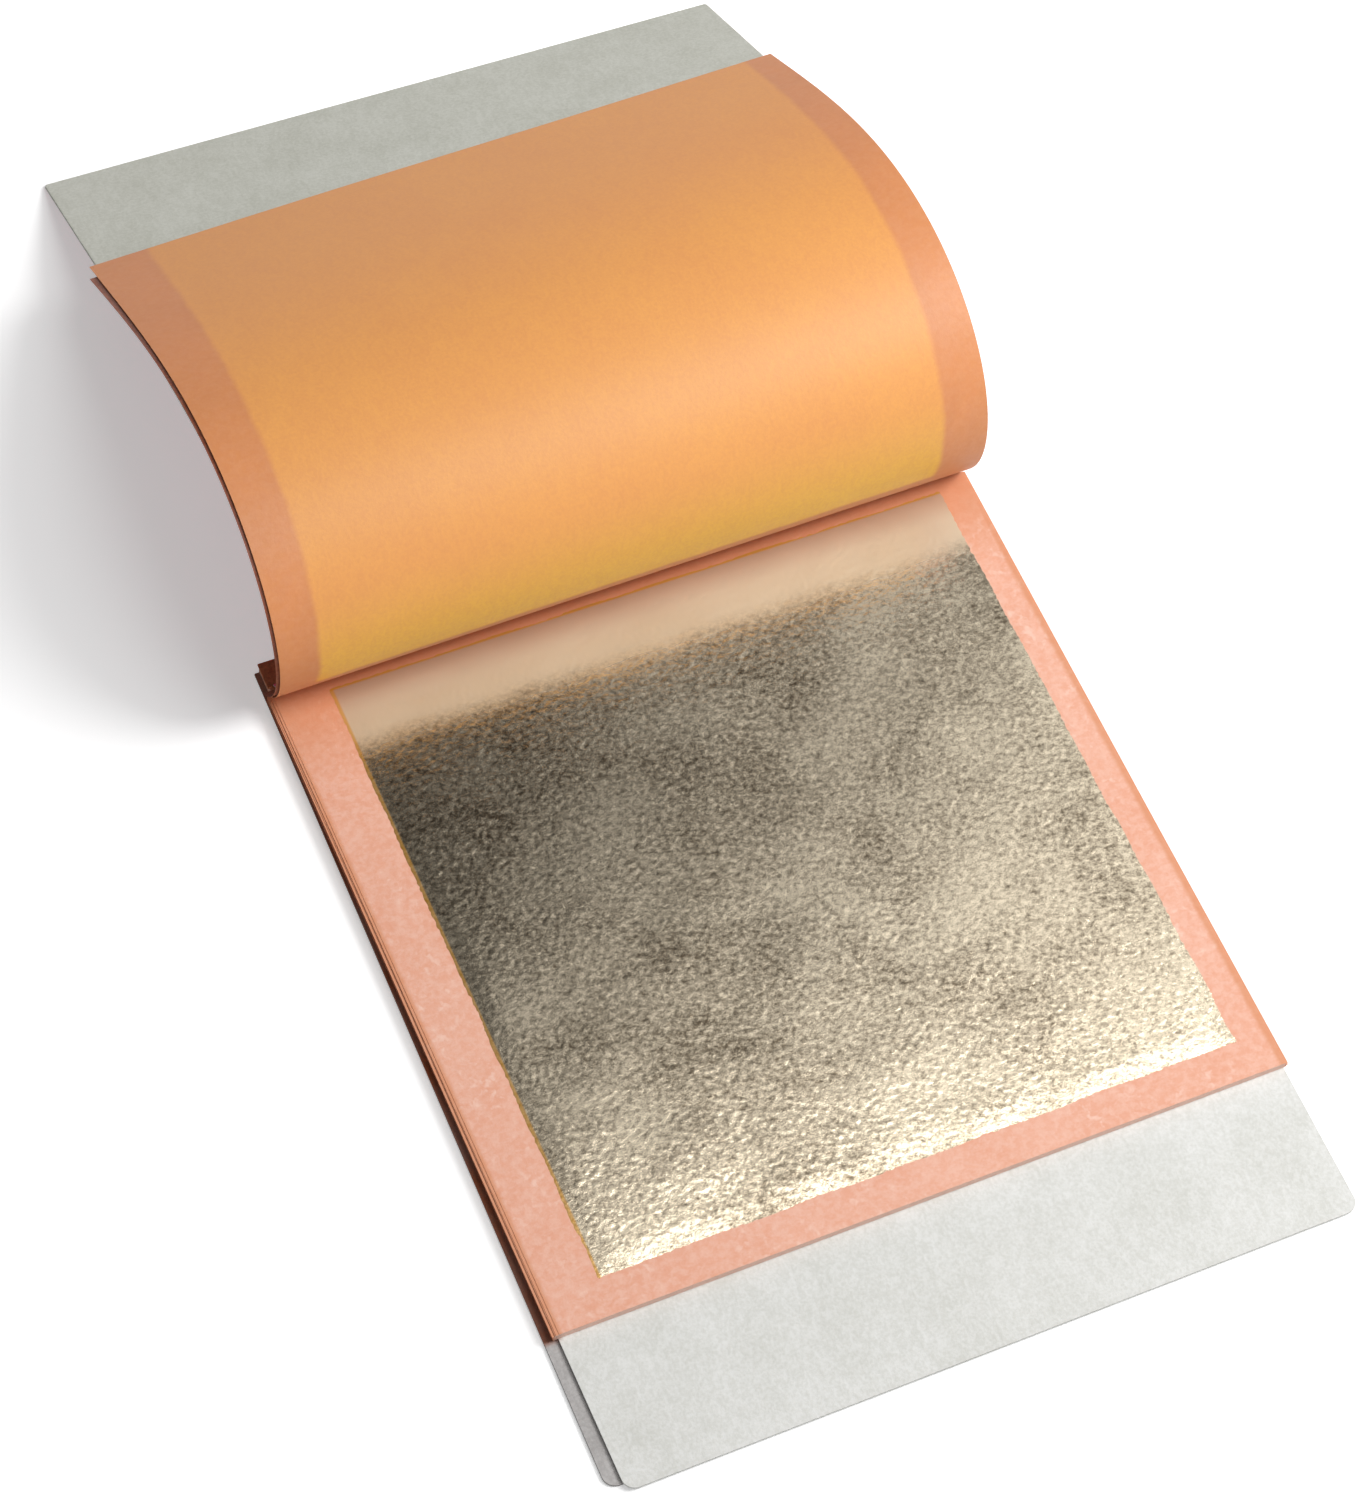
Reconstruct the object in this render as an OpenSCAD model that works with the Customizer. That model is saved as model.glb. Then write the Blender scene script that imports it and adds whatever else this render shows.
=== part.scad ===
// Booklet of gold leaf between rouged tissue leaves, lying open at its second gold leaf.
// Origin: on the table, under the middle of the fold. +X runs along the fold, +Y points to the
// sheets that are turned back, -Y to the closed block of leaves, and +Z up.
// A tissue leaf of the block is cut at its crease: its bound edge is part of the glued margin.

/* [Tissue leaves] */
// Width of a tissue leaf, along the fold
leaf_w = 90; // [86:0.5:90.5]
// Length of a tissue leaf, its bound margin included
leaf_len = 90; // [87:0.5:94]
// Thickness of the tissue
tissue_t = 0.04; // [0.03:0.01:0.06]
// Tissue leaves in the booklet, one more than its gold leaves
leaf_count = 26; // [6:1:26]
// How far the leaves of the block slip sideways out of line
leaf_slip = 0.25; // [0:0.05:0.35]
// How much wider the widest leaf of the block is cut than the top one
leaf_trim = 1.2; // [0:0.1:1.4]

/* [Gold leaf] */
// Side of the square gold leaf
gold_side = 80; // [74:0.5:80]
// Thickness that stands for the beaten metal
gold_t = 0.01; // [0.005:0.005:0.02]
// How far a gold leaf of the block lies to the right of the middle
gold_off = 1.4; // [-2:0.1:3]
// Distance of a gold leaf of the block from the fold
gold_inset = 1.6; // [1:0.1:4]
// How far the turned gold leaf reaches past the free edge of its tissue
gold_peek = 0.2; // [0:0.1:1]
// How far the turned gold leaf lies to the right of the middle
turned_gold_off = 0.5; // [-2:0.1:2]
// How much further to the right it lies at its free edge than near the fold
turned_gold_skew = 2.6; // [-3:0.1:3]

/* [Covers] */
// How far both covers stand out past the leaves, at each side
cover_overhang = 0.2; // [0.1:0.1:1.5]
// How far the back cover reaches past the leaves
back_cover_lip = 19; // [10:0.5:24]
// How far the front cover reaches past the leaves
front_cover_lip = 11.4; // [10:0.2:13]
// Thickness of the cover card
cover_t = 0.35; // [0.25:0.05:0.5]
// How far the front cover lies to the right of the middle
front_cover_shift = 0.6; // [-0.6:0.1:0.8]
// How far the back cover and the sheet under it lie to the right of the middle
back_cover_shift = 0.2; // [-0.6:0.1:0.6]
// Radius of the back cover's outer corners
corner_r = 1.5; // [0.5:0.5:4]
// Radius of the front cover's outer corners
front_corner_r = 0.5; // [0.3:0.1:2]
// Thickness of the sheet pasted under the back cover
backing_t = 0.4; // [0.4:0.05:0.6]
// How far the pasted sheet ends short of the back cover's front edge, at its middle
backing_short = 0.6; // [0.2:0.2:4]
// How far the pasted sheet stands out to the left of the back cover, at the fold
backing_out = 0.6; // [0:0.1:0.8]
// How much further to the left it has slipped at its front edge
backing_slip = 1.2; // [0:0.2:2]

/* [Binding] */
// Depth of the glued margin that holds the leaves
bound_margin = 4; // [3:0.5:6]
// Gap between the creases and the front of the glued margin
fold_gap = 0.2; // [0.2:0.05:0.4]
// How much further back the front cover is creased than the leaves
cover_crease = 0.6; // [0.6:0.1:1]
// Diameter of the staples' wire
wire_d = 0.4; // [0.3:0.05:0.4]
// Length of a staple's crown
staple_w = 12; // [8:0.5:16]
// Distance between the two staples
staple_pitch = 50; // [30:1:64]
// Clearance of a staple's legs in their holes
leg_clearance = 0.05; // [0.02:0.01:0.1]
// Clearance of a staple's clinched legs in the window of the pasted sheet
window_clearance = 0.3; // [0.1:0.1:0.6]

/* [Turned tissue leaves] */
// How much steeper than the cover the leaves climb at the fold, at the left edge, in degrees
leaf_root_lead_l = -1.2; // [-6:0.1:0]
// How much steeper than the cover the leaves come down at the free edge, at the left edge, in degrees
leaf_end_drop_l = 8.5; // [5:0.1:8.5]
// How early the curl is spent, at the left edge
leaf_curl_power_l = 2.85; // [2.7:0.05:2.9]
// How much steeper than the cover the leaves climb at the fold, at the right edge, in degrees
leaf_root_lead_r = 3.8; // [0:0.1:4]
// How much steeper than the cover the leaves come down at the free edge, at the right edge, in degrees
leaf_end_drop_r = 5.3; // [3:0.1:6]
// How early the curl is spent, at the right edge
leaf_curl_power_r = 2.45; // [2.2:0.05:2.5]
// Distance from the fold over which the leaves curl, before they lie along the cover
curl_span = 86; // [82:0.5:90]
// Gap between neighbouring turned sheets
sheet_gap = 0.1; // [0.08:0.01:0.12]
// Height of the turned leaves' creases over the block
turned_lift = 0.4; // [0.3:0.05:0.45]
// How much wider the turned leaves are cut than the top leaf of the block
turned_trim = 1; // [0:0.1:1.4]
// How far the turned leaves lie to the left of the middle
turned_shift = 0.1; // [-0.4:0.1:0.4]
// How far the first tissue leaf sticks out to the left of the second
first_leaf_out = 0.9; // [0:0.1:1.5]

/* [Turned front cover] */
// Slope at the fold, at the left edge, in degrees, before the far edge is laid on the table
cover_root_angle_l = 140.4; // [130:0.2:141]
// Slope at the far edge, at the left edge, in degrees, before it is laid on the table
cover_end_angle_l = -22; // [-24:0.2:-21]
// How early the curl is spent, at the left edge
cover_curl_power_l = 5.5; // [5:0.1:6]
// Slope at the fold, at the right edge, in degrees, before the far edge is laid on the table
cover_root_angle_r = 124.6; // [118:0.2:126]
// Slope at the far edge, at the right edge, in degrees, before it is laid on the table
cover_end_angle_r = -27; // [-29:0.2:-25]
// How early the curl is spent, at the right edge
cover_curl_power_r = 4.25; // [3.8:0.05:4.6]
// How many times further than the thin leaves the stiff card spreads its curl
cover_spread = 1.186; // [1.15:0.002:1.2]
// Height of the front cover's crease over its bound margin
cover_lift = 0.45; // [0.4:0.05:0.6]

/* [Hidden] */
first_in_block = 3;
pitch = tissue_t + gold_t;
free_len = leaf_len - bound_margin;
cover_top = backing_t + cover_t;
block_top = cover_top + (leaf_count - first_in_block + 1) * pitch - gold_t;
margin_top = cover_top + leaf_count * pitch;
margin_back = fold_gap + bound_margin;
cover_crease_y = fold_gap + cover_crease;
cover_w = leaf_w + 2 * cover_overhang;
turned_w = leaf_w + turned_trim;
back_cover_free = leaf_len + back_cover_lip - margin_back;
front_cover_free = leaf_len + front_cover_lip - (margin_back - cover_crease_y);
staple_y = (cover_crease_y + margin_back) / 2;
leg_hole_r = wire_d / 2 + leg_clearance;
bend_r = wire_d;
integration_steps = 240;
leaf_rows = 44;
cover_rows = 50;
corner_rows = 4;
cut_clearance = 1;
$fn = 48;

card_color = [0.89, 0.9, 0.87];
lower_card_color = [0.83, 0.84, 0.81];
tissue_color = [0.95, 0.7, 0.58];
turned_tissue_color = [0.9, 0.62, 0.38];
gold_color = [0.82, 0.74, 0.52];
margin_color = [0.72, 0.38, 0.22];
wire_color = [0.72, 0.73, 0.75];

function two_digits(k) = k < 10 ? str("0", k) : str(k);
function leaf_name(k) = str("tissue_leaf_", two_digits(k));
function gold_name(k) = str("gold_leaf_", two_digits(k));

// Height of the under side of leaf k of the block
function leaf_z(k) = cover_top + (leaf_count - k) * pitch;

// Leaves of the block are cut and laid by hand: the top one is true and the narrowest, and the
// others stray a little, by the sine of an angle that grows from leaf to leaf.
fold_stray_angle = 97;
free_edge_stray_angle = 137;
width_stray_angle = 61;
least_trim_share = 0.5;
function stray(k, angle) = k == first_in_block ? 0 : sin(angle * k);
function slip_at_fold(k) = leaf_slip / 3 * stray(k, fold_stray_angle);
function slip_at_free_edge(k) = leaf_slip * stray(k, free_edge_stray_angle);
function trim_share(k) = least_trim_share + (1 - least_trim_share) * (1 + stray(k, width_stray_angle)) / 2;
function block_leaf_w(k) = leaf_w + (k == first_in_block ? 0 : leaf_trim * trim_share(k));

// A curled sheet climbs from the fold and comes down again. A curl is [root slope, end slope, power,
// span, rest slope]: the slope at the distance s falls from root to end over the span by a power law,
// fastest at the fold, and what reaches past the span lies at the rest slope.
function slope(curl, s) =
    s > curl[3] ? curl[4] : curl[1] + (curl[0] - curl[1]) * pow(1 - s / curl[3], curl[2]);

// The curl's line in the YZ plane, summed up from its slope in small steps
function curl_line(curl, len, start) =
    let (step = len / integration_steps)
    [for (i = 0, p = start; i <= integration_steps;
          a = slope(curl, (i + 0.5) * step),
          p = p + step * [cos(a), sin(a)],
          i = i + 1) p];

// The point of a line at the distance s from its start
function along(line, len, s) =
    let (f = min(max(s, 0), len) / len * integration_steps, i = min(floor(f), integration_steps - 1))
    line[i] + (f - i) * (line[i + 1] - line[i]);

function turned(p, a) = [p[0] * cos(a) - p[1] * sin(a), p[0] * sin(a) + p[1] * cos(a)];

// The turn about its start that lays the line's end on the table
function seat_turn(line) =
    let (reach = line[integration_steps] - line[0])
    asin(-line[0][1] / norm(reach)) - atan2(reach[1], reach[0]);

// Rows [y, z, slope] of a curled edge, at the distances s, turned about its start and pushed towards
// its hollow side by depth
function curl_rows(curl, len, start, turn, distances, depth) =
    let (line = curl_line(curl, len, start))
    [for (s = distances)
        let (a = slope(curl, min(s, len)) + turn,
             past = max(s - len, 0),
             p = start + turned(along(line, len, s) - start, turn) + past * [cos(a), sin(a)])
        [p[0] + depth * sin(a), p[1] - depth * cos(a), a]];

// Distances of the rows along a sheet, closer together in its rounded corners
function even_rows(from, to, count) = [for (i = [0:count]) from + (to - from) * i / count];
function rows_with_corner(len, count, r) =
    concat(even_rows(0, len - r, count), [for (j = [1:corner_rows]) len - r + r * sin(90 * j / corner_rows)]);
function corner_inset(len, r, s) = s <= len - r ? 0 : r - sqrt(max(r * r - pow(s - len + r, 2), 0));

// A sheet between two curled edges. left and right hold the rows of its convex face; x_left and
// x_right hold where those rows lie across; t is its thickness, on the hollow side.
module curled_sheet(left, right, x_left, x_right, t) {
    last = len(left) - 1;
    function inner(row) = [row[0] + t * sin(row[2]), row[1] - t * cos(row[2])];
    corners = [for (i = [0:last]) each [
        [x_left[i], left[i][0], left[i][1]],
        [x_right[i], right[i][0], right[i][1]],
        [x_left[i], inner(left[i])[0], inner(left[i])[1]],
        [x_right[i], inner(right[i])[0], inner(right[i])[1]]
    ]];
    skin = [for (i = [0:last - 1]) let (a = 4 * i, b = a + 4) each [
        [a, b, b + 1], [a, b + 1, a + 1],
        [a + 2, b + 3, b + 2], [a + 2, a + 3, b + 3],
        [a, a + 2, b + 2], [a, b + 2, b],
        [a + 1, b + 1, b + 3], [a + 1, b + 3, a + 3]
    ]];
    end = 4 * last;
    ends = [[0, 1, 3], [0, 3, 2], [end, end + 3, end + 1], [end, end + 2, end + 3]];
    polyhedron(points = corners, faces = concat(skin, ends));
}

cover_start = [cover_crease_y, margin_top + cover_t + cover_lift];
cover_span = curl_span * cover_spread;
cover_curl_l = [cover_root_angle_l, cover_end_angle_l, cover_curl_power_l, cover_span, cover_end_angle_l];
cover_curl_r = [cover_root_angle_r, cover_end_angle_r, cover_curl_power_r, cover_span, cover_end_angle_r];
cover_turn_l = seat_turn(curl_line(cover_curl_l, front_cover_free, cover_start));
cover_turn_r = seat_turn(curl_line(cover_curl_r, front_cover_free, cover_start));

// The turned leaves lie on the front cover, so they are turned with it.
leaf_start = [0, block_top + turned_lift];
leaf_curl_l = [
    cover_root_angle_l + leaf_root_lead_l,
    cover_end_angle_l - leaf_end_drop_l,
    leaf_curl_power_l,
    curl_span,
    cover_end_angle_l
];
leaf_curl_r = [
    cover_root_angle_r + leaf_root_lead_r,
    cover_end_angle_r - leaf_end_drop_r,
    leaf_curl_power_r,
    curl_span,
    cover_end_angle_r
];
function leaf_left(distances, depth) =
    curl_rows(leaf_curl_l, free_len, leaf_start, cover_turn_l, distances, depth);
function leaf_right(distances, depth) =
    curl_rows(leaf_curl_r, free_len, leaf_start, cover_turn_r, distances, depth);

// Part of the turned sheets' common ruled surface, of the given width, at a depth under its outer
// face. middle holds how far right the sheet's middle lies at each distance.
module turned_sheet(distances, middle, width, depth, t) {
    left = leaf_left(distances, depth);
    right = leaf_right(distances, depth);
    function edge(side) = [for (x = middle) x + side * width / 2];
    function ruled(xs) =
        [for (i = [0:len(xs) - 1]) left[i] + ((xs[i] + turned_shift) / turned_w + 0.5) * (right[i] - left[i])];
    curled_sheet(ruled(edge(-1)), ruled(edge(1)), edge(-1), edge(1), t);
}

// A turned tissue leaf, at a depth under the outermost one and so far out to the left of it
module turned_leaf(depth, out) {
    distances = even_rows(0, free_len, leaf_rows);
    turned_sheet(distances, [for (s = distances) -turned_shift - out], turned_w, depth, tissue_t);
}

turned_gold_depth = tissue_t + sheet_gap;
first_leaf_depth = turned_gold_depth + gold_t + sheet_gap;

module tissue_leaf_01() {
    color(turned_tissue_color) turned_leaf(first_leaf_depth, first_leaf_out);
}

module tissue_leaf_02() {
    color(turned_tissue_color) turned_leaf(0, 0);
}

module gold_leaf_01() {
    from = max(free_len + gold_peek - gold_side, 0);
    distances = even_rows(from, free_len + gold_peek, leaf_rows);
    middle = [for (s = distances) turned_gold_off + turned_gold_skew * ((s - from) / gold_side - 0.5)];
    color(gold_color) turned_sheet(distances, middle, gold_side, turned_gold_depth, gold_t);
}

// A leaf of the closed block, from its crease to its free edge
module block_leaf(k) {
    half = block_leaf_w(k) / 2;
    a = slip_at_fold(k);
    b = slip_at_free_edge(k);
    color(tissue_color)
        translate([0, 0, leaf_z(k)])
            linear_extrude(tissue_t)
                polygon([[a - half, 0], [b - half, -free_len], [b + half, -free_len], [a + half, 0]]);
}

// The gold leaf under tissue leaf k, which lies on tissue leaf k + 1
module block_gold(k) {
    color(gold_color)
        translate([gold_off - gold_side / 2, -gold_inset - gold_side, leaf_z(k + 1) + tissue_t])
            cube([gold_side, gold_side, gold_t]);
}

// Flat card with two rounded corners at its front edge, from y = back to y = -front
module card_outline(w, back, front, r) {
    translate([back_cover_shift, 0]) {
        translate([-w / 2, -front + r]) square([w, back + front - r]);
        translate([-w / 2 + r, -front]) square([w - 2 * r, r]);
        for (side = [-1, 1]) translate([side * (w / 2 - r), -front + r]) circle(r);
    }
}

module at_staples() {
    for (side = [-1, 1]) translate([side * staple_pitch / 2, staple_y, 0]) children();
}

module leg_holes(from, to) {
    at_staples()
        for (leg = [-1, 1])
            translate([leg * staple_w / 2, 0, from - cut_clearance])
                cylinder(r = leg_hole_r, h = to - from + 2 * cut_clearance);
}

module back_cover() {
    color(card_color)
        difference() {
            translate([0, 0, backing_t])
                linear_extrude(cover_t) card_outline(cover_w, margin_back, back_cover_free, corner_r);
            leg_holes(backing_t, cover_top);
        }
}

// Windows of the pasted sheet, in which the clinched legs lie
module clinch_windows() {
    at_staples()
        translate([-staple_w / 2 - wire_d, -wire_d / 2 - window_clearance, -cut_clearance])
            cube([staple_w + 2 * wire_d, wire_d + 2 * window_clearance, backing_t + 2 * cut_clearance]);
}

// The pasted sheet has slipped round a little, and was trimmed flush with the bound edge afterwards.
module backing_sheet() {
    front = back_cover_free - backing_short;
    slip_angle = asin(backing_slip / front);
    spare = cover_w * sin(slip_angle);
    color(lower_card_color)
        difference() {
            rotate(-slip_angle)
                translate([-backing_out, 0])
                    linear_extrude(backing_t) card_outline(cover_w, margin_back + spare, front, corner_r);
            clinch_windows();
            translate([-cover_w, margin_back, -cut_clearance])
                cube([2 * cover_w, 2 * spare + cut_clearance, backing_t + 2 * cut_clearance]);
        }
}

// The bound edges of all the tissue leaves, glued into one block
module bound_margin() {
    color(margin_color)
        difference() {
            translate([-leaf_w / 2, fold_gap, cover_top])
                cube([leaf_w, bound_margin, margin_top - cover_top]);
            leg_holes(cover_top, margin_top);
        }
}

module front_cover_margin() {
    color(card_color)
        difference() {
            translate([-cover_w / 2, cover_crease_y, margin_top])
                cube([cover_w, margin_back - cover_crease_y, cover_t]);
            leg_holes(margin_top, margin_top + cover_t);
        }
}

// The card is worked out on its hollow side, which lies on the table at its far edge.
module front_cover() {
    distances = rows_with_corner(front_cover_free, cover_rows, front_corner_r);
    rows = len(distances) - 1;
    left = curl_rows(cover_curl_l, front_cover_free, cover_start, cover_turn_l, distances, -cover_t);
    right = curl_rows(cover_curl_r, front_cover_free, cover_start, cover_turn_r, distances, -cover_t);
    insets = [for (s = distances) corner_inset(front_cover_free, front_corner_r, s)];
    color(card_color)
        curled_sheet(
            left,
            right,
            [for (i = [0:rows]) front_cover_shift - cover_w / 2 + insets[i]],
            [for (i = [0:rows]) front_cover_shift + cover_w / 2 - insets[i]],
            cover_t
        );
}

// A quarter bend in the XZ plane, from the leg's top to the crown's end
module wire_bend() {
    rotate([90, 0, 0])
        rotate_extrude(angle = 90)
            translate([bend_r, 0]) circle(d = wire_d);
}

module wire_run(from, to) {
    translate(from)
        rotate([0, from[2] == to[2] ? 90 : 0, 0])
            cylinder(d = wire_d, h = from[2] == to[2] ? to[0] - from[0] : to[2] - from[2]);
}

// Half a staple: half its crown, one leg and the leg's end clinched under the back cover
module half_staple() {
    leg_x = staple_w / 2;
    crown_z = margin_top + cover_t + wire_d / 2;
    clinch_z = wire_d / 2;
    clinch_len = staple_w / 3;
    wire_run([0, 0, crown_z], [leg_x - bend_r, 0, crown_z]);
    translate([leg_x - bend_r, 0, crown_z - bend_r]) wire_bend();
    wire_run([leg_x, 0, clinch_z + bend_r], [leg_x, 0, crown_z - bend_r]);
    translate([leg_x - bend_r, 0, clinch_z + bend_r]) mirror([0, 0, 1]) wire_bend();
    wire_run([leg_x - bend_r - clinch_len, 0, clinch_z], [leg_x - bend_r, 0, clinch_z]);
}

module staples() {
    color(wire_color)
        at_staples()
            for (side = [0, 1]) mirror([side, 0, 0]) half_staple();
}

front_cover();
front_cover_margin();
back_cover();
backing_sheet();
bound_margin();
staples();
tissue_leaf_01();
tissue_leaf_02();
gold_leaf_01();
for (k = [first_in_block:leaf_count])
    block_leaf(k);
for (k = [first_in_block - 1:leaf_count - 1])
    block_gold(k);
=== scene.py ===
"""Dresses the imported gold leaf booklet: curled tissue leaves, crinkled leaf metal, fibrous card, and
the table, lights and camera it is seen with. Lengths are in metres, in the frame of the CAD model."""

import bpy
import numpy as np
from bpy.props import FloatProperty, FloatVectorProperty, PointerProperty
from mathutils import Matrix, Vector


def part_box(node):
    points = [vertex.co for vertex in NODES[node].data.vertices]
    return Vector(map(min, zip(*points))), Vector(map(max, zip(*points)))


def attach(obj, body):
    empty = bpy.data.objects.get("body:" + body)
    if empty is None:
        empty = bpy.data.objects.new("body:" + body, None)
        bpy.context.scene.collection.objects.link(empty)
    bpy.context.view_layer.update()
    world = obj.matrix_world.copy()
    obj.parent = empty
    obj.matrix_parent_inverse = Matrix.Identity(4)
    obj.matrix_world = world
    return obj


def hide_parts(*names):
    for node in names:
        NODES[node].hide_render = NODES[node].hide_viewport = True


bl_info = {
    "name": "Gold leaf booklet",
    "version": (1, 0, 0),
    "blender": (4, 5, 0),
    "location": "View3D > Sidebar > Booklet",
    "description": "Builds the sheets, leaf metal and finishes of an open gold leaf booklet",
    "category": "Object",
}

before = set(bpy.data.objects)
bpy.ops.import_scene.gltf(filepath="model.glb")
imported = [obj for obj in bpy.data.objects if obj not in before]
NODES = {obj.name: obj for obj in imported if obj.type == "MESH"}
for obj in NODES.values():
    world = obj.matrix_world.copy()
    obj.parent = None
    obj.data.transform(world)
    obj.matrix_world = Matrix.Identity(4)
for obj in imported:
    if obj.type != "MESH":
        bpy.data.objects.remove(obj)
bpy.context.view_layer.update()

MM = 0.001
DEG = np.pi / 180
WHITE = (1, 1, 1, 1)
LEAVES = 26
FIRST_IN_BLOCK = 3
LINE_STEPS = 240
CARD_GRID = 150, 90
TURNED_GRID = 180, 120
METAL_GRID = 160, 120
CRINKLE_GRID = 300

# Height, wavelength, seed and stretch of each layer of waves in the bare metal leaf and on its edge.
CRINKLES = (
    (0.013 * MM, 0.95 * MM, 11, (1.15, 0.9)),
    (0.007 * MM, 5 * MM, 12, (1, 1)),
    (0.022 * MM, 16 * MM, 15, (1, 1)),
)
EDGE_WAVES = (
    (0.045 * MM, 1 * MM, 13, (1, 1)),
    (0.07 * MM, 12 * MM, 14, (1, 1)),
)


def linear(red, green, blue):
    """An sRGB colour, 0 to 255, as scene linear values."""
    c = np.array([red, green, blue]) / 255
    return tuple(float(v) for v in np.where(c <= 0.04045, c / 12.92, ((c + 0.055) / 1.055) ** 2.4))


def setting(name, description, default, **kind):
    """A setting that holds one number, or several."""
    if isinstance(default, tuple):
        several = {"default": default, "size": len(default)}
        return FloatVectorProperty(name=name, description=description, **several, **kind)
    return FloatProperty(name=name, description=description, default=default, **kind)


def length(name, description, default):
    """A setting in metres."""
    return setting(name, description, default, unit="LENGTH", precision=5)


def angles(name, description, left, right):
    """A setting for the left and the right side, given in degrees and kept in radians."""
    return setting(name, description, (left * DEG, right * DEG), unit="ROTATION")


def point(name, description, at):
    """A setting that is a place or a direction."""
    return setting(name, description, at, subtype="XYZ")


def power(name, description, watts):
    """A lamp's power in watts."""
    return setting(name, description, watts, unit="POWER")


def colour(name, description, red, green, blue):
    """A colour setting, given as sRGB from 0 to 255 and kept as scene linear values."""
    return setting(name, description, linear(red, green, blue), min=0, max=1, subtype="COLOR")


# ---------------------------------------------------------------- settings


class BookletSheets(bpy.types.PropertyGroup):
    """Sizes of the tissue leaves, metal leaves and covers."""

    turned_width: length("Turned leaf width", "Width of a turned leaf along the fold", 91 * MM)
    turned_left: length("Turned leaves to the left", "Place of the turned leaves off the middle", 0.1 * MM)
    leaf_free: length("Leaf length", "Length of a tissue leaf in front of the binding", 86 * MM)
    tissue: length("Tissue", "Thickness of the tissue", 0.04 * MM)
    gold_side: length("Metal leaf", "Side of a square metal leaf", 80 * MM)
    gold: length("Metal thickness", "Thickness that stands for the beaten metal", 0.01 * MM)
    turned_gold_right: length("Turned metal to the right", "Place of the turned metal leaf", 0.5 * MM)
    turned_gold_skew: length("Turned metal's skew", "How much further right its free edge lies", 2.6 * MM)
    turned_gold_peek: length("Metal past the tissue", "Reach past the free edge of the tissue", 0.2 * MM)
    first_leaf_out: length("First leaf out", "How far the first leaf sticks out to the left", 0.9 * MM)
    first_leaf_short: length("First leaf short", "How much shorter the first leaf is cut", 2.8 * MM)
    block_half: length("Half block", "Half width of the block's leaves", 45 * MM)
    block_reach: length("Block's reach", "How far the block reaches in front of the fold", 86 * MM)
    sheet_gap: length("Gap", "Gap between neighbouring turned sheets", 0.1 * MM)
    cover_width: length("Cover width", "Width of the covers along the fold", 90.4 * MM)
    cover_free: length("Front cover length", "Length of the front cover from its crease", 98 * MM)
    cover_right: length("Front cover to the right", "Place of the front cover off the middle", 0.6 * MM)
    cover: length("Card", "Thickness of the cover card", 0.35 * MM)
    corner: length("Corner radius", "Radius of the cover's outer corners", 0.5 * MM)
    cover_edge: setting("Cover edge", "How much of the card's thickness its worn edges round over", 0.32)


class BookletCurl(bpy.types.PropertyGroup):
    """How the turned sheets climb from the fold and come down, at their left and right edges."""

    span: length("Span", "Distance from the fold over which the leaves curl", 86 * MM)
    spread: setting("Spread of the card", "How many times further the card spreads its curl", 1.186)
    leaf_crease: length("Height of the leaves' crease", "Height of the crease over the table", 2.34 * MM)
    cover_crease: length("Height of the cover's crease", "Height of the crease over the table", 2.85 * MM)
    cover_crease_y: length("Cover's crease", "Distance of the cover's crease behind the fold", 0.8 * MM)
    leaf_root: angles("Leaf root", "Slope of the leaves at the fold", 139.2, 128.4)
    leaf_end: angles("Leaf end", "Slope of the leaves at the free edge", -30.5, -32.3)
    leaf_power: setting("Leaf curl", "How early the leaves' curl is spent", (2.85, 2.45))
    cover_root: angles("Cover root", "Slope of the cover at its crease", 140.4, 124.6)
    cover_end: angles("Cover end", "Slope of the cover at its far edge", -22, -27)
    cover_power: setting("Cover curl", "How early the cover's curl is spent", (5.5, 4.25))


class BookletSurface(bpy.types.PropertyGroup):
    """Waves of the turned sheets, crinkle of the bare metal leaf, and places of the papers' tones."""

    wave: length("Wave", "Height of the wave that the turned sheets share", 0.07 * MM)
    wave_across: length("Wave across", "Its radian of length along the fold", 23 * MM)
    ripple_across: length("Ripple across", "The finer ripple's radian of length along the fold", 9.3 * MM)
    ragged: length("Ragged edge", "How far in the bare metal leaf's edge lies on average", 0.12 * MM)
    ragged_band: length("Ragged band", "Width of the band that follows the ragged edge", 1.5 * MM)
    pressed: length("Pressed edge", "Width over which the crinkle flattens towards the edges", 2.5 * MM)
    smooth_end: length("Smooth end", "Width over which the crinkle flattens towards the fold", 14 * MM)
    # Painted reflection: the strip by the fold is painted a pale tone for the turned leaf reflected in the
    # metal
    painted_reflection_band: length("Dull strip", "Width of the unburnished strip of metal by the fold", 11 * MM)
    painted_reflection_blend: length("Dull strip's edge", "Width over which the dull strip fades out", 4.6 * MM)
    # Painted light: the rim is yellow light painted on a flat edge, as on an edge turned up to the light
    metal_rim: length("Yellow rim", "Width of the turned-up yellow edge of a metal leaf", 0.5 * MM)
    # Painted reflection: the turned leaf's glow near the fold is painted, for the bare metal leaf's light
    # on it
    painted_glow_end: length("Glow's end", "Distance from the fold where the glow of the turned leaf ends", 21 * MM)
    painted_glow_full: length("Full glow", "Distance from the fold up to which the glow is full", 6 * MM)
    deep_start: length("Deeper tone", "Distance from the fold where the turned leaf gets deeper", 42 * MM)
    deep_full: length("Deepest tone", "Distance from the fold past which it is deepest", 66 * MM)
    square_blur: length("Square's edge", "Half width of the seen-through metal's edge", 0.5 * MM)
    paper_bump: length("Paper grain", "Depth of the tissue's grain", 0.08 * MM)
    card_bump: length("Card grain", "Depth of the card's grain", 0.12 * MM)
    metal_bump: length("Metal grain", "Depth of the metal leaf's finest crinkle", 0.06 * MM)


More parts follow.
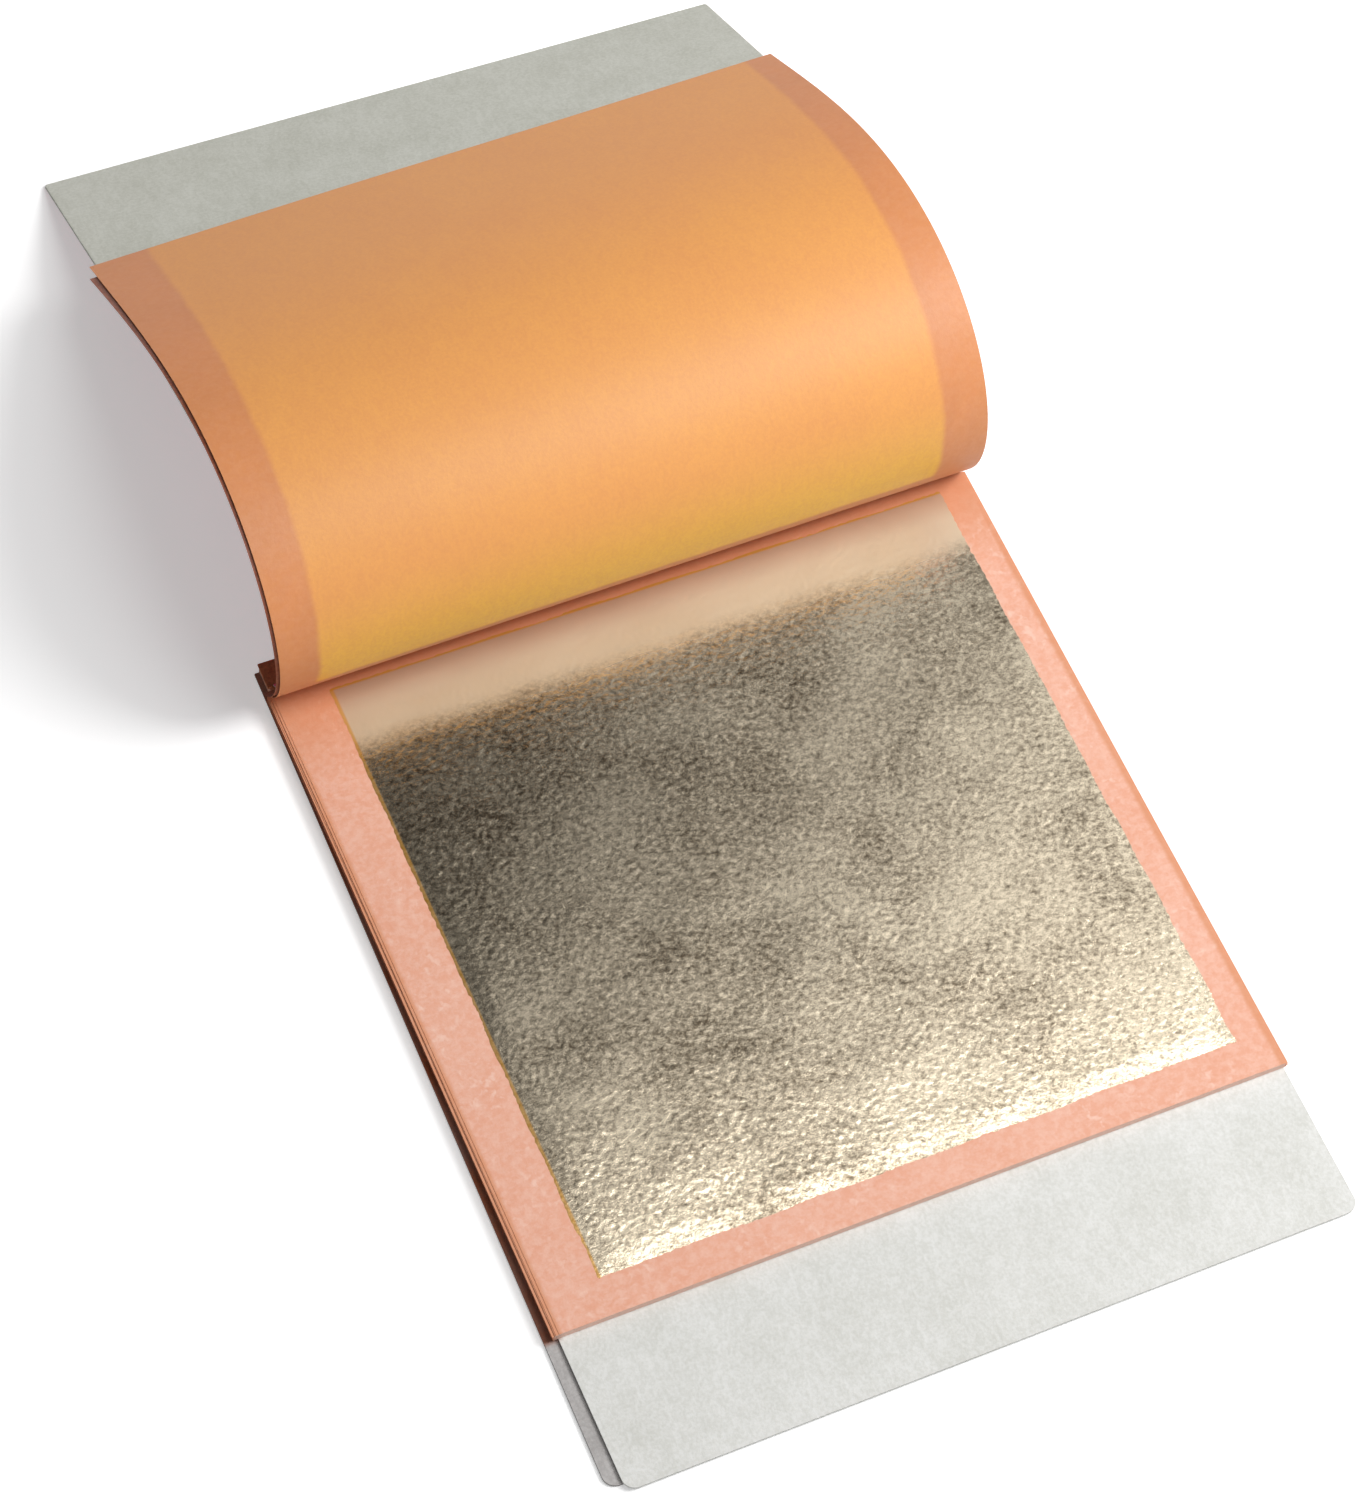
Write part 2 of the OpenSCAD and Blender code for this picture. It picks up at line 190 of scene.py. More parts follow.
class BookletColours(bpy.types.PropertyGroup):
    """Colours of the booklet's papers and metal."""

    card: colour("Card", "Soft grey-white cover card", 232, 232, 229)
    card_fibre: colour("Card fibre", "Darker fibres of the card", 208, 208, 201)
    outside: colour("Outside of the cover", "Dusty rose outside of the front cover", 228, 104, 130)
    # Painted shade: darkens the whole front cover's card for the shade it lies in, with a slight yellow
    # tint as well
    painted_shade: colour("Shade", "How much greyer the front cover's inside is than the card", 238, 238, 231)
    # Painted shade: the pasted sheet is greyer than the card for the shade along its strip beside the block
    board_painted_shade: colour("Grey board", "Grey sheet pasted under the back cover", 192, 189, 187)
    board_fibre_painted_shade: colour("Grey board fibre", "Darker fibres of the grey sheet", 160, 156, 154)
    rouge: colour("Rouged tissue", "Tissue of the block, rubbed with rouge", 237, 178, 153)
    rouge_pale: colour("Worn rouge", "Where the rouge is thin", 248, 210, 193)
    rouge_deep: colour("Deep rouge", "Edges and heavy rouge", 216, 132, 90)
    turned: colour("Turned tissue", "Turned tissue with nothing behind it", 228, 150, 93)
    backed: colour("Backed tissue", "Turned tissue with metal leaf behind it", 244, 172, 93)
    # Painted reflection: the yellow light of the bare metal leaf on the turned leaf near the fold
    glow: colour("Glow", "Backed tissue near the fold", 255, 206, 74)
    rouge_edge: colour("Cut edges", "Cut edges of the rouged leaves", 212, 138, 92)
    # Painted shade: the first leaf is coloured dark for the shade it lies in under the second leaf
    under: colour("Underside", "First leaf, which shows only at its edge", 138, 66, 38)
    metal: colour("Leaf metal", "Pale beaten gold", 242, 227, 200)
    metal_deep: colour("Deep leaf metal", "Hollows of the crinkled gold", 96, 82, 64)
    # Painted reflection: pale tone of the turned leaf reflected in the metal by the fold
    metal_painted_reflection: colour("Dull leaf metal", "Unburnished strip of metal by the fold", 214, 196, 169)
    # Painted light: yellow of an edge turned up to the light, painted on a flat edge
    metal_painted_rim: colour("Metal edge", "Yellow turned-up edge of the bare metal leaf", 214, 156, 52)
    # Painted shade tinted by the rouge's reflected light: on the card edges beside the block, on the metal
    # near the fold and on the front cover's margin
    painted_rouge_shade: colour("Rouge stain", "Rouge that has stained the card beside the leaves", 158, 90, 56)
    wire: colour("Wire", "Bright staple wire", 205, 207, 210)


class BookletStage(bpy.types.PropertyGroup):
    """Table, lights, dark card and camera."""

    floor: colour("Table", "Colour of the table top", 244, 244, 244)
    floor_half: length("Half table", "Half width of the table top", 3.0)
    floor_lift: setting("Table lift", "Light that the camera sees on the table by itself", 0.38)
    key_power: power("Key light", "Power of the key light", 3.5)
    key_size: length("Key size", "Width of the key light", 0.3)
    key_at: point("Key place", "Where the key light hangs", (0.43, -0.12, 0.45))
    top_power: power("Top light", "Power of the top light", 1.1)
    top_size: length("Top size", "Width of the top light", 0.35)
    top_at: point("Top place", "Where the top light hangs", (0.19, -0.12, 0.62))
    lights_aim: point("Lights' aim", "Where both lights point", (0, -0.01, 0))
    sky: setting("Sky", "Strength of the even light from all round", 0.17)
    card_low: point("Dark card's corner", "Its near left corner, over the table", (-0.2, -0.06, 0.08))
    card_high: point("Dark card's far corner", "Its far right corner", (0.3, 0.25, 0.08))
    card_shade: setting("Card shade", "How bright the dark card is in a reflection", 0.115)
    lens: setting("Lens", "Focal length in mm on a 36 mm high image", 105.22)
    shift_x: setting("Shift across", "Sideways shift of the lens", -0.0021)
    shift_y: setting("Shift up", "Upward shift of the lens", 0.0044)
    camera_at: point("Camera", "Where the camera stands", (-0.14524, -0.24019, 0.4455))
    camera_right: point("Right", "Direction that is right in the image", (0.91064, -0.40178, 0.09646))
    camera_forward: point("View", "Direction in which the camera looks", (0.27683, 0.41994, -0.8643))


# ---------------------------------------------------------------- curled sheets


def slope(curl, s):
    """Slope at the distance s: end + (root - end) * (1 - s / span) ^ power, and rest past the span."""
    root, end, power, span, rest = curl
    eased = end + (root - end) * np.clip(1 - s / span, 0, 1) ** power
    return np.where(s > span, rest, eased)


def curl_line(curl, reach, start):
    """Points of the curl's line in YZ: the running sum of steps of equal length along the slope."""
    step = reach / LINE_STEPS
    a = slope(curl, (np.arange(LINE_STEPS) + 0.5) * step)
    run = np.cumsum(np.stack([np.cos(a), np.sin(a)], 1) * step, 0)
    return np.vstack([start, start + run])


def seat_turn(line):
    """The turn about its start that lays the line's end on the table."""
    reach = line[-1] - line[0]
    return np.arcsin(-line[0][1] / np.hypot(*reach)) - np.arctan2(reach[1], reach[0])


def curl_rows(curl, reach, start, turn, s, depth):
    """Rows (y, z, slope) at the distances s: the line turned about its start, carried on straight past
    its end, and pushed by depth towards its hollow side, along (sin a, -cos a)."""
    line = curl_line(curl, reach, start)
    at = np.linspace(0, reach, LINE_STEPS + 1)
    local = np.stack([np.interp(s, at, line[:, 0]), np.interp(s, at, line[:, 1])], 1) - start
    a = slope(curl, np.minimum(s, reach)) + turn
    y = start[0] + local[:, 0] * np.cos(turn) - local[:, 1] * np.sin(turn)
    z = start[1] + local[:, 0] * np.sin(turn) + local[:, 1] * np.cos(turn)
    past = np.maximum(s - reach, 0)
    return np.stack(
        [y + past * np.cos(a) + depth * np.sin(a), z + past * np.sin(a) - depth * np.cos(a), a], 1
    )


def cover_curls():
    """Curls and seat turns of the front cover's left and right edges."""
    c, sheets = bpy.context.scene.booklet_curl, bpy.context.scene.booklet_sheets
    start = np.array([c.cover_crease_y, c.cover_crease])
    span = c.span * c.spread
    curls = [(*law, span, law[1]) for law in zip(c.cover_root, c.cover_end, c.cover_power)]
    turns = [seat_turn(curl_line(curl, sheets.cover_free, start)) for curl in curls]
    return start, curls, turns


def leaf_rows(s, depth):
    """Rows of the turned leaves' left and right edges: they lie on the cover, so they turn with it."""
    c, sheets = bpy.context.scene.booklet_curl, bpy.context.scene.booklet_sheets
    start = np.array([0.0, c.leaf_crease])
    turns = cover_curls()[2]
    spans = c.span, c.span
    curls = zip(c.leaf_root, c.leaf_end, c.leaf_power, spans, c.cover_end)
    return [curl_rows(k, sheets.leaf_free, start, t, s, depth) for k, t in zip(curls, turns)]


def ruled(left, right, x, share):
    """Points between two curled edges: (1 - share) * left + share * right at each x, and the surface's
    outward normal (0, -sin a, cos a) there."""
    mix = left[:, None, :] + share[..., None] * (right - left)[:, None, :]
    points = np.stack([x, mix[..., 0], mix[..., 1]], -1)
    normals = np.stack([np.zeros_like(x), -np.sin(mix[..., 2]), np.cos(mix[..., 2])], -1)
    return points, normals


def waves(shape, spacing, layers):
    """The sum of smooth fields, each its layer's height times a field of unit spread."""
    return sum(height * wave_field(shape, spacing, *layer) for height, *layer in layers)


def wave_field(shape, spacing, wavelength, seed, stretch):
    """A smooth field of unit spread: white noise kept to a band round one wavelength in each direction."""
    noise = np.fft.rfft2(np.random.default_rng(seed).standard_normal(shape))
    ky = np.fft.fftfreq(shape[0], spacing[0])[:, None] * stretch[0]
    kx = np.fft.rfftfreq(shape[1], spacing[1])[None, :] * stretch[1]
    k = np.hypot(kx, ky) * wavelength
    field = np.fft.irfft2(noise * np.exp(-((k - 1) ** 2) / 0.35) * (k > 0), s=shape)
    return field / field.std()


def new_object(name, data):
    """A new object in the scene."""
    made = bpy.data.objects.new(name, data)
    bpy.context.scene.collection.objects.link(made)
    return made


def closed_sheet(name, top, bottom, uv, plain_bottom=False):
    """A closed sheet from two grids of points: the top, the bottom turned over, and a strip round the
    four sides that joins their borders. A plain bottom keeps only its border and is one flat face. uv
    holds the flat place of each grid point, in metres."""
    rows, cols = top.shape[:2]
    index = np.arange(rows * cols).reshape(rows, cols)
    a, b = index[:-1, :-1].ravel(), index[:-1, 1:].ravel()
    c, d = index[1:, 1:].ravel(), index[1:, :-1].ravel()
    low = rows * cols
    loop = np.concatenate([index[0, :-1], index[:-1, -1], index[-1, :0:-1], index[:0:-1, 0]])
    under = np.arange(len(loop)) + low if plain_bottom else loop + low
    rim = np.stack([loop, under, np.roll(under, -1), np.roll(loop, -1)], 1)
    quads = [np.stack([a, b, c, d], 1), rim]
    kept = loop if plain_bottom else index.ravel()
    if not plain_bottom:
        quads.append(np.stack([a, d, c, b], 1) + low)
    corners = np.concatenate(quads).ravel()
    starts = np.arange(0, len(corners), 4)
    side = np.repeat([0, 2, 1][: len(quads)], [len(q) for q in quads])
    if plain_bottom:
        starts, side = np.append(starts, len(corners)), np.append(side, 1)
        corners = np.concatenate([corners, under[::-1]])
    points = np.concatenate([top.reshape(-1, 3), bottom.reshape(-1, 3)[kept]])
    flat = np.concatenate([uv.reshape(-1, 2), uv.reshape(-1, 2)[kept]])
    mesh = bpy.data.meshes.new(name)
    mesh.vertices.add(len(points))
    mesh.vertices.foreach_set("co", points.astype(np.float32).ravel())
    mesh.loops.add(len(corners))
    mesh.loops.foreach_set("vertex_index", corners.astype(np.int32))
    mesh.polygons.add(len(starts))
    mesh.polygons.foreach_set("loop_start", starts.astype(np.int32))
    layer = mesh.uv_layers.new(name="flat")
    layer.data.foreach_set("uv", flat[corners].astype(np.float32).ravel())
    mesh.update(calc_edges=True)
    mesh.polygons.foreach_set("use_smooth", np.ones(len(starts), dtype=bool))
    mesh.attributes.new("side", "INT", "FACE").data.foreach_set("value", side.astype(np.int32))
    sharpen(mesh, np.concatenate([rim[:, [0, 3]], rim[:, [1, 2]]]))
    mesh.validate()
    return new_object(name, mesh)


def sharpen(mesh, pairs):
    """Marks the edges between these pairs of points, so that the faces on their two sides shade apart.
    An edge's number is its lower point times the number of points, plus its higher point."""
    points = len(mesh.vertices)
    edges = np.empty(2 * len(mesh.edges), dtype=np.int32)
    mesh.edges.foreach_get("vertices", edges)
    edges, wanted = (np.sort(e.reshape(-1, 2).astype(np.int64), 1) for e in (edges, pairs))
    sharp = np.isin(edges[:, 0] * points + edges[:, 1], wanted[:, 0] * points + wanted[:, 1])
    mesh.attributes.new("sharp_edge", "BOOLEAN", "EDGE").data.foreach_set("value", sharp)


def turned_sheet(name, s, middle, width, depth, thickness, columns):
    """A turned leaf or its metal, on the sheets' common ruled surface. Each point lies at
    x = middle(s) + (u - 1/2) * width, at the share (x + left) / turned width + 1/2 of the way from the
    left curled edge to the right one, lifted by the common wave along the normal. The bottom lies one
    thickness further in along the same normal."""
    sheets = bpy.context.scene.booklet_sheets
    left, right = leaf_rows(s, depth)
    u = np.linspace(-0.5, 0.5, columns)
    x = (middle + 0 * s)[:, None] + u[None, :] * width
    points, normals = ruled(left, right, x, (x + sheets.turned_left) / sheets.turned_width + 0.5)
    points = points + normals * common_wave(x, s)[..., None]
    uv = np.stack([x, np.broadcast_to(s[:, None], x.shape)], -1)
    return closed_sheet(name, points, points - normals * thickness, uv)


def common_wave(x, s):
    """Gentle swells that all turned sheets share, so that they stay nested: wave * (s / reach) ^ 1.5
    times a sine along the fold plus 0.45 of a finer one, whose phases drift with s."""
    surface = bpy.context.scene.booklet_surface
    share = s[:, None] / bpy.context.scene.booklet_sheets.leaf_free
    ripple = np.sin(x / surface.ripple_across + 3.1 * share)
    swell = np.sin(x / surface.wave_across - 5.2 * share + 1.3)
    return surface.wave * np.clip(share, 0, 1) ** 1.5 * (0.45 * ripple + swell)


def cover_grid(sheets):
    """The curled card's top, bottom and flat places. Its grid runs s along the card and u across it,
    closer near the edges. At each s the half width is the cover's, less r - sqrt(r^2 - p^2) in the last
    stretch of the corner's radius r, p being the distance into it. Near each edge the two faces draw
    together by e * (1 - sqrt(1 - n^2)), where e is the worn edge's radius and n goes from 0 at e from
    the edge to 1 on it."""
    rim = np.array([0, 0.04, 0.1, 0.18, 0.3]) * MM / sheets.cover_width
    near_crease = np.array([0, 0.05, 0.12, 0.2, 0.3]) * MM
    corner = sheets.corner * np.sin(np.linspace(0, np.pi / 2, 12))
    straight_end = sheets.cover_free - sheets.corner
    straight = np.linspace(1.2 * MM, straight_end, CARD_GRID[0])
    s = np.concatenate([near_crease, straight, straight_end + corner[1:]])
    u = np.concatenate([rim, np.linspace(0.006, 0.994, CARD_GRID[1]), 1 - rim[::-1]])
    into_corner = np.maximum(s - straight_end, 0)
    inset = sheets.corner - np.sqrt(np.maximum(sheets.corner**2 - into_corner**2, 0))
    half = sheets.cover_width / 2 - inset
    x = sheets.cover_right + half[:, None] * (2 * u - 1)[None, :]
    start, curls, turns = cover_curls()
    rows = [curl_rows(k, sheets.cover_free, start, t, s, -sheets.cover) for k, t in zip(curls, turns)]
    points, normals = ruled(*rows, x, np.broadcast_to(u, x.shape))
    worn = sheets.cover * sheets.cover_edge
    from_side = np.minimum(u, 1 - u)[None, :] * 2 * half[:, None]
    from_end = np.minimum(s, sheets.cover_free - s)[:, None]
    near = np.clip(1 - np.minimum(from_side, from_end) / worn, 0, 1)
    drop = worn * (1 - np.sqrt(1 - near**2))[..., None]
    flat = np.stack([x, np.broadcast_to(s[:, None], x.shape)], -1)
    return points - normals * drop, points - normals * (sheets.cover - drop), flat


def crinkled_grid(sheets, surface, low):
    """The bare metal leaf's top, bottom and flat places, from its lowest corner. e is the distance from
    the nearest edge. The crinkles stand over their lowest point, times e / pressed up to 1, times the
    distance from the fold / smooth end, from 0.2 to 1. Each point moves in from its nearest edge by the
    edge waves + ragged, at least 0, times 1 - e / ragged band, at least 0."""
    side = sheets.gold_side
    grid = np.linspace(0, side, CRINKLE_GRID)
    shape, gap = (CRINKLE_GRID, CRINKLE_GRID), (grid[1], grid[1])
    v, u = np.meshgrid(grid, grid, indexing="ij")
    height = waves(shape, gap, CRINKLES)
    in_u, in_v = np.minimum(u, side - u), np.minimum(v, side - v)
    edge = np.minimum(in_u, in_v)
    settle = np.clip(edge / surface.pressed, 0, 1) * np.clip((side - v) / surface.smooth_end, 0.2, 1)
    height = (height - height.min()) * settle
    pull = np.maximum(waves(shape, gap, EDGE_WAVES) + surface.ragged, 0)
    pull *= np.clip(1 - edge / surface.ragged_band, 0, 1)
    x = low.x + u + np.sign(side / 2 - u) * (in_u <= edge + gap[0] / 2) * pull
    y = low.y + v + np.sign(side / 2 - v) * (in_v <= edge + gap[0] / 2) * pull
    top = np.stack([x, y, low.z + sheets.gold + height], -1)
    return top, np.stack([x, y, np.full_like(x, low.z)], -1), np.stack([x, y], -1)


# ---------------------------------------------------------------- materials


class Nodes:
    """Short hand for laying out the nodes of one tree."""

    def __init__(self, tree):
        self.tree = tree
        tree.nodes.clear()

    def add(self, kind, inputs=None, **settings):
        """A node with its settings, and its inputs set to values or linked to sockets."""
        node = self.tree.nodes.new(kind)
        for key, value in settings.items():
            setattr(node, key, value)
        for key, value in (inputs or {}).items():
            self.set(node.inputs[key], value)
        return node

    def set(self, socket, value):
        """Links a socket to another one, or sets its own value."""
        if isinstance(value, bpy.types.NodeSocket):
            self.tree.links.new(value, socket)
        else:
            socket.default_value = value

    def math(self, operation, a, b=0.0, clamp=False):
        node = self.add("ShaderNodeMath", {0: a, 1: b}, operation=operation, use_clamp=clamp)
        return node.outputs[0]

    def times(self, a, b):
        return self.math("MULTIPLY", a, b)

    def plus(self, a, b):
        return self.math("ADD", a, b)

    def minus(self, a, b):
        return self.math("SUBTRACT", a, b)

    def most(self, a, b, clamp=False):
        return self.math("MAXIMUM", a, b, clamp)

    def span(self, value, low, high, to_low=0.0, to_high=1.0, smooth=True):
        """The value's place between low and high, eased in and out, as a number from to_low to to_high."""
        ends = {"From Min": low, "From Max": high, "To Min": to_low, "To Max": to_high}
        ease = "SMOOTHSTEP" if smooth else "LINEAR"
        node = self.add("ShaderNodeMapRange", {"Value": value, **ends}, interpolation_type=ease)
        return node.outputs["Result"]

    def blend(self, share, a, b):
        """The share of colour b in colour a."""
        node = self.add("ShaderNodeMix", {"Factor": share, 6: a, 7: b}, data_type="RGBA")
        return node.outputs[2]

    def noise(self, vector, scale, detail=3.0, rough=0.5, stretch=(1, 1, 1), distortion=0.0, turn=0.0):
        """Cloud noise, with scale in clouds per metre, on a place that is stretched and turned first."""
        turned = self.add(
            "ShaderNodeMapping", {"Vector": vector, "Scale": stretch, "Rotation": (0, 0, turn)}
        )
        look = {"Scale": scale, "Detail": detail, "Roughness": rough, "Distortion": distortion}
        return self.add("ShaderNodeTexNoise", {"Vector": turned.outputs[0], **look}).outputs["Fac"]


def pattern(name, outputs, build):
    """A shader node group that turns a Vector into numbers that vary over a surface, made once."""
    found = bpy.data.node_groups.get(name)
    if found:
        return found
    tree = bpy.data.node_groups.new(name, "ShaderNodeTree")
    tree.interface.new_socket("Vector", in_out="INPUT", socket_type="NodeSocketVector")
    for output in outputs:
        tree.interface.new_socket(output, in_out="OUTPUT", socket_type="NodeSocketFloat")
    n = Nodes(tree)
    vector = n.add("NodeGroupInput").outputs["Vector"]
    n.add("NodeGroupOutput", build(n, vector))
    return tree


def use(n, tree, vector):
    """The outputs of a pattern, placed in a material."""
    return n.add("ShaderNodeGroup", {"Vector": vector}, node_tree=tree).outputs


def paper_fibre():
    """Felted fibres: fine grain, longer fibres in two crossing directions, and broad cloudiness."""

    def build(n, v):
        grain = n.noise(v, scale=2400, detail=4, rough=0.7)
        one_way = n.noise(v, 900, 4, 0.65, stretch=(1, 0.55, 1), distortion=1.0, turn=0.5)
        other_way = n.noise(v, 1000, 4, 0.65, stretch=(1, 0.6, 1), distortion=1.0, turn=-0.8)
        cloud = n.noise(v, scale=110, detail=3, rough=0.55)
        mixed = n.times(n.plus(one_way, other_way), 0.5)
        tone = n.plus(n.times(mixed, 0.5), n.times(grain, 0.5))
        return {"Tone": n.span(tone, 0.38, 0.62), "Cloud": n.span(cloud, 0.3, 0.7), "Height": tone}

    return pattern("paper_fibre", ("Tone", "Cloud", "Height"), build)


def rouge_mottle():
    """Hand-rubbed rouge: broad rubbing streaks, fine mottle, and pale specks where it is worn."""

    def build(n, v):
        rub = n.noise(v, 90, 6, 0.65, stretch=(1, 0.8, 1), distortion=0.4)
        mottle = n.noise(v, 1100, 4, 0.65, stretch=(0.8, 1, 1), distortion=0.3)
        speck = n.noise(v, 900, 2, 0.5, distortion=0.4)
        patch = n.noise(v, scale=60, detail=3, rough=0.6)
        worn = n.times(n.span(speck, 0.56, 0.72), n.span(patch, 0.4, 0.62))
        return {
            "Rub": n.span(rub, 0.3, 0.7),
            "Mottle": n.span(mottle, 0.36, 0.64),
            "Worn": n.times(worn, 0.65),
        }

    return pattern("rouge_mottle", ("Rub", "Mottle", "Worn"), build)


def leaf_crinkle():
    """Fine crinkle of beaten metal, and its hollows, which gather in broad clouds."""

    def build(n, v):
        grain = n.noise(v, 1700, 4, 0.65, stretch=(0.85, 1, 1), distortion=0.3)
        speck = n.noise(v, 1500, 5, 0.8, stretch=(0.75, 1, 1), distortion=0.2, turn=0.5)
        cloud = n.noise(v, 62, 6, 0.66, stretch=(0.75, 1, 1), distortion=0.6, turn=0.5)
        drift = n.times(n.minus(cloud, 0.5), 0.6)
        hollow = n.span(n.plus(speck, drift), 0.61, 0.33, smooth=False)
        return {"Height": grain, "Hollow": hollow, "Cloud": n.span(cloud, 0.3, 0.7)}

    return pattern("leaf_crinkle", ("Height", "Hollow", "Cloud"), build)


def rgba(value):
    return (value[0], value[1], value[2], 1.0)


def new_material(name):
    material = bpy.data.materials.new(name)
    material.use_nodes = True
    return material, Nodes(material.node_tree)


def finish_material(n, base, roughness, normal=None, **constants):
    """The shader and its output. Constants are numbers for sockets that are the same all over."""
    inputs = {"Base Color": base, "Roughness": roughness, **constants}
    if normal is not None:
        inputs["Normal"] = normal
    shader = n.add("ShaderNodeBsdfPrincipled", inputs)
    n.add("ShaderNodeOutputMaterial", {"Surface": shader.outputs[0]})
    return shader


def bump(n, height, strength, depth):
    inputs = {"Strength": strength, "Distance": depth, "Height": height}
    return n.add("ShaderNodeBump", inputs).outputs[0]


def place(n, on_sheet):
    """The pattern's place: the sheet's own flat UV map, or Object coordinates."""
    coordinates = n.add("ShaderNodeTexCoord")
    return coordinates.outputs["UV" if on_sheet else "Object"]


def axes(n, vector):
    """The X, Y and Z of a vector."""
    return n.add("ShaderNodeSeparateXYZ", {"Vector": vector}).outputs


def card_material(name, on_sheet, light, dark, painted_shade=(1, 1, 1), outside=None, painted_rouge_shade=None):
    """Felted card: darker fibres and a soft cloud, darkened by the painted shade given. A curled cover also
    has the colour of its outside, on the faces of its sheet's second side. Painted shade tinted by the
    rouge's reflected light lies along the left edge, beside the block."""
    sheets, surface = bpy.context.scene.booklet_sheets, bpy.context.scene.booklet_surface
    material, n = new_material(name)
    v = place(n, on_sheet)
    fibre = use(n, paper_fibre(), v)
    # The shade multiplies both tones: all ones leave the card as it is, less darkens it as painted shade
    light, dark = (tuple(c * s for c, s in zip(tone, painted_shade)) for tone in (light, dark))
    share = n.plus(n.times(fibre["Tone"], 0.6), n.times(fibre["Cloud"], 0.3))
    base = n.blend(share, rgba(light), rgba(dark))
    if outside:
        side = n.add("ShaderNodeAttribute", attribute_name="side").outputs["Fac"]
        turned_under = n.math("COMPARE", side, 1.0)
        deep = tuple(0.8 * c for c in outside)
        base = n.blend(turned_under, base, n.blend(share, rgba(outside), rgba(deep)))
    # Painted shade, tinted by light the rouge reflects, along the card's left edge beside the block
    if painted_rouge_shade:
        across, along, _ = axes(n, v)
        half, reach = sheets.block_half, sheets.block_reach
        beside = n.span(across, 0.6 * MM - half, 0.1 * MM - half)
        by_block = n.span(along, -reach - 0.6 * MM, -reach + 0.4 * MM)
        patchy_share = n.minus(1.0, n.times(fibre["Cloud"], 0.3))
        base = n.blend(n.times(n.times(beside, by_block), patchy_share), base, rgba(painted_rouge_shade))
    roughness = n.span(fibre["Tone"], 0, 1, 0.78, 0.92)
    normal = bump(n, fibre["Height"], 0.5, surface.card_bump)
    finish_material(n, base, roughness, normal, **{"Specular IOR Level": 0.25})
    return material


def tissue_material(name, on_sheet):
    """Rouged tissue of the block: salmon, rubbed unevenly, with worn pale specks, painted shade towards
    the fold, more rouge towards the sides, and deeper cut edges, found where the surface's own normal lies
    flat, painted paler where they face the front, as if lit."""
    colours, sheets = bpy.context.scene.booklet_colours, bpy.context.scene.booklet_sheets
    deep, pale, edge = rgba(colours.rouge_deep), rgba(colours.rouge_pale), rgba(colours.rouge_edge)
    material, n = new_material(name)
    v = place(n, on_sheet)
    fibre = use(n, paper_fibre(), v)
    rouge = use(n, rouge_mottle(), v)
    base = n.blend(n.times(rouge["Rub"], 0.25), rgba(colours.rouge), deep)
    base = n.blend(n.times(rouge["Mottle"], 0.35), base, pale)
    base = n.blend(rouge["Worn"], base, pale)
    base = n.blend(n.times(fibre["Tone"], 0.2), base, deep)
    across, along, _ = axes(n, v)
    # Painted shade near the fold, where the turned leaves overhang the block
    painted_fold_shade = n.times(n.span(along, -16 * MM, -1 * MM), 0.8)
    half = sheets.block_half
    by_side = n.times(n.span(n.math("ABSOLUTE", across), half - 0.7 * MM, half), 0.7)
    base = n.blend(n.most(painted_fold_shade, by_side), base, edge)
    facing = axes(n, n.add("ShaderNodeTexCoord").outputs["Normal"])
    cut = n.span(n.math("ABSOLUTE", facing[2]), 0.6, 0.3)
    # Painted light: cut edges that face the front are paler, as if lit from the front
    front = n.span(facing[1], -0.4, -0.8)
    base = n.blend(cut, base, n.blend(front, edge, pale))
    normal = bump(n, fibre["Height"], 0.45, bpy.context.scene.booklet_surface.paper_bump)
    finish_material(n, base, 0.66, normal, **{"Specular IOR Level": 0.35, "Sheen Weight": 0.15})
    return material


def turned_material(name, plain, backed):
    """Turned tissue. Where it is backed, the metal leaf behind it shows as a clearer, yellower square,
    askew by the metal's skew, with a yellow glow painted close to the fold for the light that the bare
    metal leaf reflects onto it, and deeper towards the free edge."""
    colours, surface = bpy.context.scene.booklet_colours, bpy.context.scene.booklet_surface
    material, n = new_material(name)
    v = place(n, True)
    fibre = use(n, paper_fibre(), v)
    rouge = use(n, rouge_mottle(), v)
    deep = tuple(0.72 * c for c in plain)
    base = n.blend(n.times(rouge["Rub"], 0.25), rgba(plain), rgba(deep))
    base = n.blend(n.times(rouge["Mottle"], 0.06), base, rgba(colours.rouge_pale))
    if backed:
        wobble = n.times(n.minus(n.noise(v, 260, 2), 0.5), 0.6 * MM)
        x, s, _ = axes(n, v)
        x, s = n.plus(x, wobble), n.plus(s, wobble)
        tone = n.blend(n.times(rouge["Rub"], 0.2), rgba(colours.backed), rgba(colours.turned))
        # Painted reflection: a yellow glow near the fold for the light that the bare metal leaf throws onto
        # the turned leaf
        glow = n.times(n.span(s, surface.painted_glow_end, surface.painted_glow_full), 0.85)
        tone = n.blend(glow, tone, rgba(colours.glow))
        base = n.blend(metal_square(n, x, s), base, tone)
        deeper = n.times(n.span(s, surface.deep_start, surface.deep_full), 0.16)
        base = n.blend(deeper, base, rgba(colours.rouge_deep))
    base = n.blend(n.times(fibre["Tone"], 0.25), base, rgba(colours.rouge_deep))
    normal = bump(n, fibre["Height"], 0.45, surface.paper_bump)
    finish_material(n, base, 0.47, normal, **{"Specular IOR Level": 0.5, "Sheen Weight": 0.03})
    return material


